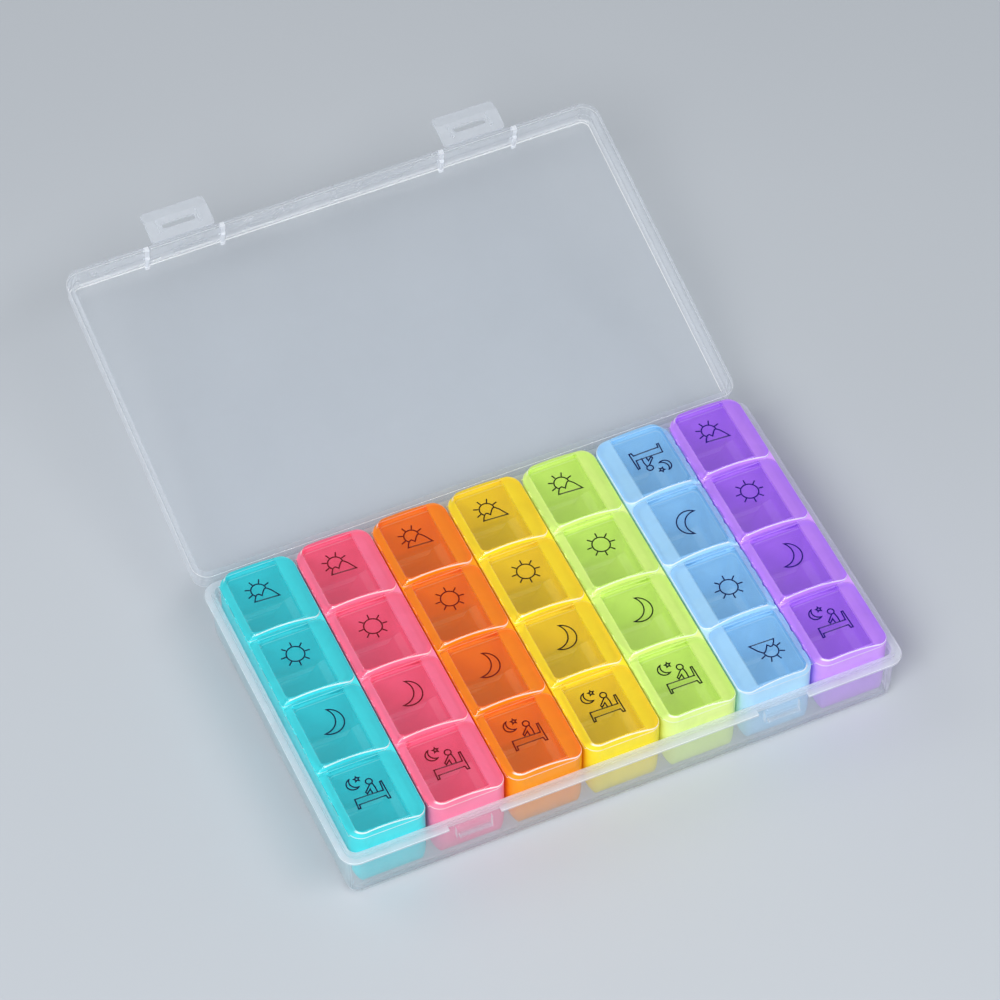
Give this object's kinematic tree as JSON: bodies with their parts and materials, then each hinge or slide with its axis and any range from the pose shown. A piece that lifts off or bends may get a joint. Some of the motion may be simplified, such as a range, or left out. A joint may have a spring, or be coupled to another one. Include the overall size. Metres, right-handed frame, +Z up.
{
  "type": "weekly pill organiser",
  "caption": "Clear hinged case with two latches, holding coloured lift-out strips of lidded pill compartments, one strip per day.",
  "frame": {"origin": "middle of the case base's flat underside", "axes": "+X along the case, +Y back towards the case hinge, +Z up"},
  "size_m": [0.175, 0.2263, 0.0489],
  "materials": {
    "case_plastic": "clear natural polypropylene, slightly milky, smooth",
    "teal_plastic": "translucent teal polypropylene, smooth",
    "pink_plastic": "translucent pink polypropylene, smooth",
    "orange_plastic": "translucent orange polypropylene, smooth",
    "yellow_plastic": "translucent yellow polypropylene, smooth",
    "green_plastic": "translucent green polypropylene, smooth",
    "blue_plastic": "translucent blue polypropylene, smooth",
    "purple_plastic": "translucent purple polypropylene, smooth"
  },
  "bodies": {
    "base": {"case_base": "case_plastic", "case_hinge": "case_plastic"},
    "lid": {"case_lid": "case_plastic"},
    "latch_left": {"latch_left": "case_plastic"},
    "latch_right": {"latch_right": "case_plastic"},
    "teal_strip": {"teal_box": "teal_plastic", "teal_hinge": "teal_plastic"},
    "teal_lid_1": {"teal_lid_1": "teal_plastic"},
    "teal_lid_2": {"teal_lid_2": "teal_plastic"},
    "teal_lid_3": {"teal_lid_3": "teal_plastic"},
    "teal_lid_4": {"teal_lid_4": "teal_plastic"},
    "pink_strip": {"pink_box": "pink_plastic", "pink_hinge": "pink_plastic"},
    "pink_lid_1": {"pink_lid_1": "pink_plastic"},
    "pink_lid_2": {"pink_lid_2": "pink_plastic"},
    "pink_lid_3": {"pink_lid_3": "pink_plastic"},
    "pink_lid_4": {"pink_lid_4": "pink_plastic"},
    "orange_strip": {"orange_box": "orange_plastic", "orange_hinge": "orange_plastic"},
    "orange_lid_1": {"orange_lid_1": "orange_plastic"},
    "orange_lid_2": {"orange_lid_2": "orange_plastic"},
    "orange_lid_3": {"orange_lid_3": "orange_plastic"},
    "orange_lid_4": {"orange_lid_4": "orange_plastic"},
    "yellow_strip": {"yellow_box": "yellow_plastic", "yellow_hinge": "yellow_plastic"},
    "yellow_lid_1": {"yellow_lid_1": "yellow_plastic"},
    "yellow_lid_2": {"yellow_lid_2": "yellow_plastic"},
    "yellow_lid_3": {"yellow_lid_3": "yellow_plastic"},
    "yellow_lid_4": {"yellow_lid_4": "yellow_plastic"},
    "green_strip": {"green_box": "green_plastic", "green_hinge": "green_plastic"},
    "green_lid_1": {"green_lid_1": "green_plastic"},
    "green_lid_2": {"green_lid_2": "green_plastic"},
    "green_lid_3": {"green_lid_3": "green_plastic"},
    "green_lid_4": {"green_lid_4": "green_plastic"},
    "blue_strip": {"blue_box": "blue_plastic", "blue_hinge": "blue_plastic"},
    "blue_lid_1": {"blue_lid_1": "blue_plastic"},
    "blue_lid_2": {"blue_lid_2": "blue_plastic"},
    "blue_lid_3": {"blue_lid_3": "blue_plastic"},
    "blue_lid_4": {"blue_lid_4": "blue_plastic"},
    "purple_strip": {"purple_box": "purple_plastic", "purple_hinge": "purple_plastic"},
    "purple_lid_1": {"purple_lid_1": "purple_plastic"},
    "purple_lid_2": {"purple_lid_2": "purple_plastic"},
    "purple_lid_3": {"purple_lid_3": "purple_plastic"},
    "purple_lid_4": {"purple_lid_4": "purple_plastic"}
  },
  "joints": [
    {"name": "case_lid_hinge", "type": "hinge", "parent": "base", "child": "lid", "pos_m": [0, 0.0548, 0.019], "axis": [-1, 0, 0], "range_deg": [-165.5, 0]},
    {"name": "latch_left_hinge", "type": "hinge", "parent": "lid", "child": "latch_left", "pos_m": [-0.048, 0.16037, 0.04651], "axis": [1, 0, 0], "range_deg": [0, 90]},
    {"name": "latch_right_hinge", "type": "hinge", "parent": "lid", "child": "latch_right", "pos_m": [0.048, 0.16037, 0.04651], "axis": [1, 0, 0], "range_deg": [0, 90]},
    {"name": "teal_strip_lift", "type": "slide", "parent": "base", "child": "teal_strip", "axis": [0, 0, 1], "range_m": [0, 0.03]},
    {"name": "teal_lid_1_hinge", "type": "hinge", "parent": "teal_strip", "child": "teal_lid_1", "pos_m": [-0.08375, 0.03795, 0.024], "axis": [0, -1, 0], "range_deg": [0, 85]},
    {"name": "teal_lid_2_hinge", "type": "hinge", "parent": "teal_strip", "child": "teal_lid_2", "pos_m": [-0.08375, 0.01265, 0.024], "axis": [0, -1, 0], "range_deg": [0, 85]},
    {"name": "teal_lid_3_hinge", "type": "hinge", "parent": "teal_strip", "child": "teal_lid_3", "pos_m": [-0.08375, -0.01265, 0.024], "axis": [0, -1, 0], "range_deg": [0, 85]},
    {"name": "teal_lid_4_hinge", "type": "hinge", "parent": "teal_strip", "child": "teal_lid_4", "pos_m": [-0.08375, -0.03795, 0.024], "axis": [0, -1, 0], "range_deg": [0, 85]},
    {"name": "pink_strip_lift", "type": "slide", "parent": "base", "child": "pink_strip", "axis": [0, 0, 1], "range_m": [0, 0.03]},
    {"name": "pink_lid_1_hinge", "type": "hinge", "parent": "pink_strip", "child": "pink_lid_1", "pos_m": [-0.05975, 0.03795, 0.024], "axis": [0, -1, 0], "range_deg": [0, 85]},
    {"name": "pink_lid_2_hinge", "type": "hinge", "parent": "pink_strip", "child": "pink_lid_2", "pos_m": [-0.05975, 0.01265, 0.024], "axis": [0, -1, 0], "range_deg": [0, 85]},
    {"name": "pink_lid_3_hinge", "type": "hinge", "parent": "pink_strip", "child": "pink_lid_3", "pos_m": [-0.05975, -0.01265, 0.024], "axis": [0, -1, 0], "range_deg": [0, 85]},
    {"name": "pink_lid_4_hinge", "type": "hinge", "parent": "pink_strip", "child": "pink_lid_4", "pos_m": [-0.05975, -0.03795, 0.024], "axis": [0, -1, 0], "range_deg": [0, 85]},
    {"name": "orange_strip_lift", "type": "slide", "parent": "base", "child": "orange_strip", "axis": [0, 0, 1], "range_m": [0, 0.03]},
    {"name": "orange_lid_1_hinge", "type": "hinge", "parent": "orange_strip", "child": "orange_lid_1", "pos_m": [-0.03575, 0.03795, 0.024], "axis": [0, -1, 0], "range_deg": [0, 85]},
    {"name": "orange_lid_2_hinge", "type": "hinge", "parent": "orange_strip", "child": "orange_lid_2", "pos_m": [-0.03575, 0.01265, 0.024], "axis": [0, -1, 0], "range_deg": [0, 85]},
    {"name": "orange_lid_3_hinge", "type": "hinge", "parent": "orange_strip", "child": "orange_lid_3", "pos_m": [-0.03575, -0.01265, 0.024], "axis": [0, -1, 0], "range_deg": [0, 85]},
    {"name": "orange_lid_4_hinge", "type": "hinge", "parent": "orange_strip", "child": "orange_lid_4", "pos_m": [-0.03575, -0.03795, 0.024], "axis": [0, -1, 0], "range_deg": [0, 85]},
    {"name": "yellow_strip_lift", "type": "slide", "parent": "base", "child": "yellow_strip", "axis": [0, 0, 1], "range_m": [0, 0.03]},
    {"name": "yellow_lid_1_hinge", "type": "hinge", "parent": "yellow_strip", "child": "yellow_lid_1", "pos_m": [-0.01175, 0.03795, 0.024], "axis": [0, -1, 0], "range_deg": [0, 85]},
    {"name": "yellow_lid_2_hinge", "type": "hinge", "parent": "yellow_strip", "child": "yellow_lid_2", "pos_m": [-0.01175, 0.01265, 0.024], "axis": [0, -1, 0], "range_deg": [0, 85]},
    {"name": "yellow_lid_3_hinge", "type": "hinge", "parent": "yellow_strip", "child": "yellow_lid_3", "pos_m": [-0.01175, -0.01265, 0.024], "axis": [0, -1, 0], "range_deg": [0, 85]},
    {"name": "yellow_lid_4_hinge", "type": "hinge", "parent": "yellow_strip", "child": "yellow_lid_4", "pos_m": [-0.01175, -0.03795, 0.024], "axis": [0, -1, 0], "range_deg": [0, 85]},
    {"name": "green_strip_lift", "type": "slide", "parent": "base", "child": "green_strip", "axis": [0, 0, 1], "range_m": [0, 0.03]},
    {"name": "green_lid_1_hinge", "type": "hinge", "parent": "green_strip", "child": "green_lid_1", "pos_m": [0.01225, 0.03795, 0.024], "axis": [0, -1, 0], "range_deg": [0, 85]},
    {"name": "green_lid_2_hinge", "type": "hinge", "parent": "green_strip", "child": "green_lid_2", "pos_m": [0.01225, 0.01265, 0.024], "axis": [0, -1, 0], "range_deg": [0, 85]},
    {"name": "green_lid_3_hinge", "type": "hinge", "parent": "green_strip", "child": "green_lid_3", "pos_m": [0.01225, -0.01265, 0.024], "axis": [0, -1, 0], "range_deg": [0, 85]},
    {"name": "green_lid_4_hinge", "type": "hinge", "parent": "green_strip", "child": "green_lid_4", "pos_m": [0.01225, -0.03795, 0.024], "axis": [0, -1, 0], "range_deg": [0, 85]},
    {"name": "blue_strip_lift", "type": "slide", "parent": "base", "child": "blue_strip", "axis": [0, 0, 1], "range_m": [0, 0.08]},
    {"name": "blue_lid_1_hinge", "type": "hinge", "parent": "blue_strip", "child": "blue_lid_1", "pos_m": [0.05975, -0.03795, 0.024], "axis": [0, 1, 0], "range_deg": [0, 85]},
    {"name": "blue_lid_2_hinge", "type": "hinge", "parent": "blue_strip", "child": "blue_lid_2", "pos_m": [0.05975, -0.01265, 0.024], "axis": [0, 1, 0], "range_deg": [0, 85]},
    {"name": "blue_lid_3_hinge", "type": "hinge", "parent": "blue_strip", "child": "blue_lid_3", "pos_m": [0.05975, 0.01265, 0.024], "axis": [0, 1, 0], "range_deg": [0, 85]},
    {"name": "blue_lid_4_hinge", "type": "hinge", "parent": "blue_strip", "child": "blue_lid_4", "pos_m": [0.05975, 0.03795, 0.024], "axis": [0, 1, 0], "range_deg": [0, 85]},
    {"name": "purple_strip_lift", "type": "slide", "parent": "base", "child": "purple_strip", "axis": [0, 0, 1], "range_m": [0, 0.03]},
    {"name": "purple_lid_1_hinge", "type": "hinge", "parent": "purple_strip", "child": "purple_lid_1", "pos_m": [0.06025, 0.03795, 0.024], "axis": [0, -1, 0], "range_deg": [0, 85]},
    {"name": "purple_lid_2_hinge", "type": "hinge", "parent": "purple_strip", "child": "purple_lid_2", "pos_m": [0.06025, 0.01265, 0.024], "axis": [0, -1, 0], "range_deg": [0, 85]},
    {"name": "purple_lid_3_hinge", "type": "hinge", "parent": "purple_strip", "child": "purple_lid_3", "pos_m": [0.06025, -0.01265, 0.024], "axis": [0, -1, 0], "range_deg": [0, 85]},
    {"name": "purple_lid_4_hinge", "type": "hinge", "parent": "purple_strip", "child": "purple_lid_4", "pos_m": [0.06025, -0.03795, 0.024], "axis": [0, -1, 0], "range_deg": [0, 85]}
  ]
}
